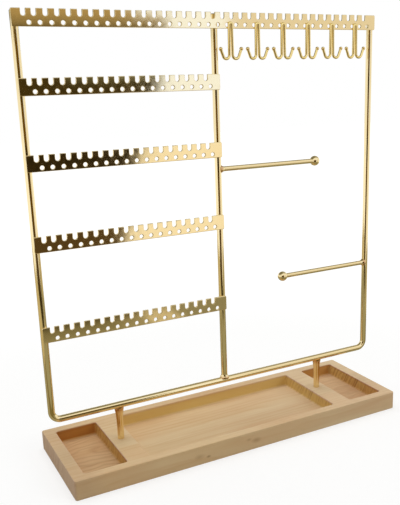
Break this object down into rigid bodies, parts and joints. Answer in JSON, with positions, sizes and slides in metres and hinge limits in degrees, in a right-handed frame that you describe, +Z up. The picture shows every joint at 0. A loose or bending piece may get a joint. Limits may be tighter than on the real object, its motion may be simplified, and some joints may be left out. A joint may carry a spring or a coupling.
{
  "type": "jewelry stand with tray",
  "caption": "Gilt rod jewellery stand with comb strips for earrings, double hooks and ball-ended arms, on a wooden tray with open pockets.",
  "frame": {"origin": "middle of the tray's underside", "axes": "+X along the tray towards the end with the hooks and arms, +Y from the comb strips' front face to the back, +Z up"},
  "size_m": [0.346, 0.106, 0.39],
  "materials": {
    "pine": "sanded, bare",
    "gilt_steel": "mirror-polished, gold plated",
    "zinc_steel": "zinc plated"
  },
  "bodies": {
    "root": {"tray_front_stave": "pine", "tray_middle_stave": "pine", "tray_back_stave": "pine", "outer_frame": "gilt_steel", "centre_upright": "gilt_steel", "left_leg": "gilt_steel", "right_leg": "gilt_steel", "top_comb_strip": "gilt_steel", "short_comb_strip_1": "gilt_steel", "short_comb_strip_2": "gilt_steel", "short_comb_strip_3": "gilt_steel", "short_comb_strip_4": "gilt_steel", "hook_1": "gilt_steel", "hook_2": "gilt_steel", "hook_3": "gilt_steel", "hook_4": "gilt_steel", "hook_5": "gilt_steel", "hook_6": "gilt_steel", "upper_arm": "gilt_steel", "upper_arm_ball": "gilt_steel", "lower_arm": "gilt_steel", "lower_arm_ball": "gilt_steel", "leg_screws": "zinc_steel", "screw_washers": "zinc_steel"}
  },
  "joints": []
}
